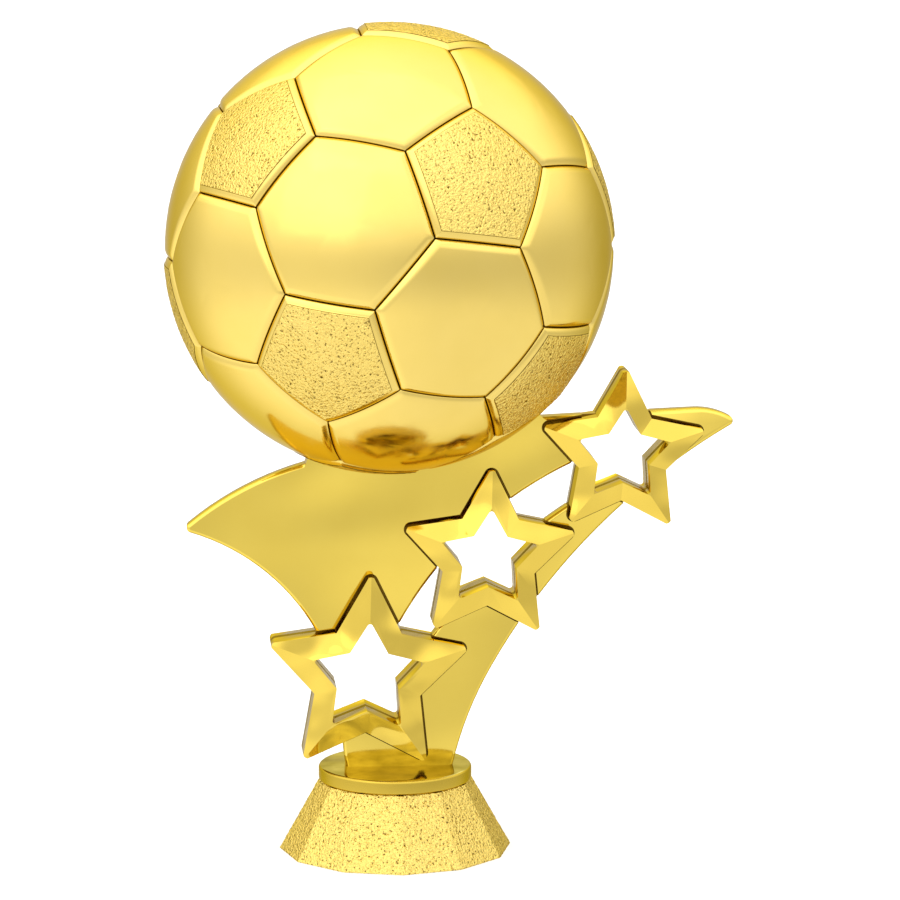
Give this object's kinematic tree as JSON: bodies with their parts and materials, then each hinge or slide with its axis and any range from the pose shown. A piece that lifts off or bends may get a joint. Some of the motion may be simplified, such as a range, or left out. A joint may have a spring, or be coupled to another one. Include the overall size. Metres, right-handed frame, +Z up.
{
  "type": "figure trophy",
  "caption": "Gold figure trophy: a football resting on a swept wing with open five-pointed stars, on a twelve-sided textured pedestal with a threaded socket underneath.",
  "frame": {"origin": "centre of the pedestal's underside, at the mouth of the captive nut", "axes": "+Z up, -Y towards the viewer of the front (the side shown in the picture), +X towards the wing's long right tip; the wing lies in the XZ plane"},
  "size_m": [0.097, 0.0762, 0.1425],
  "materials": {
    "pedestal_gold": "vacuum-metallised gold over a pebbled moulding",
    "disc_gold": "vacuum-metallised gold, polished",
    "wing_gold": "vacuum-metallised gold, polished",
    "star_gold": "vacuum-metallised gold, polished",
    "ball_gold": "vacuum-metallised gold, smooth hexagons and pebbled pentagons",
    "nut_steel": "zinc-plated",
    "screw_steel": "zinc-plated"
  },
  "bodies": {
    "root": {"pedestal": "pedestal_gold", "pedestal_disc": "disc_gold", "captive_nut": "nut_steel", "foot_screw": "screw_steel", "swoosh_plate": "wing_gold", "ball_front_shell": "ball_gold", "ball_rear_shell": "ball_gold", "star_lower_front": "star_gold", "star_lower_rear": "star_gold", "star_middle_front": "star_gold", "star_middle_rear": "star_gold", "star_upper_front": "star_gold", "star_upper_rear": "star_gold"}
  },
  "joints": []
}
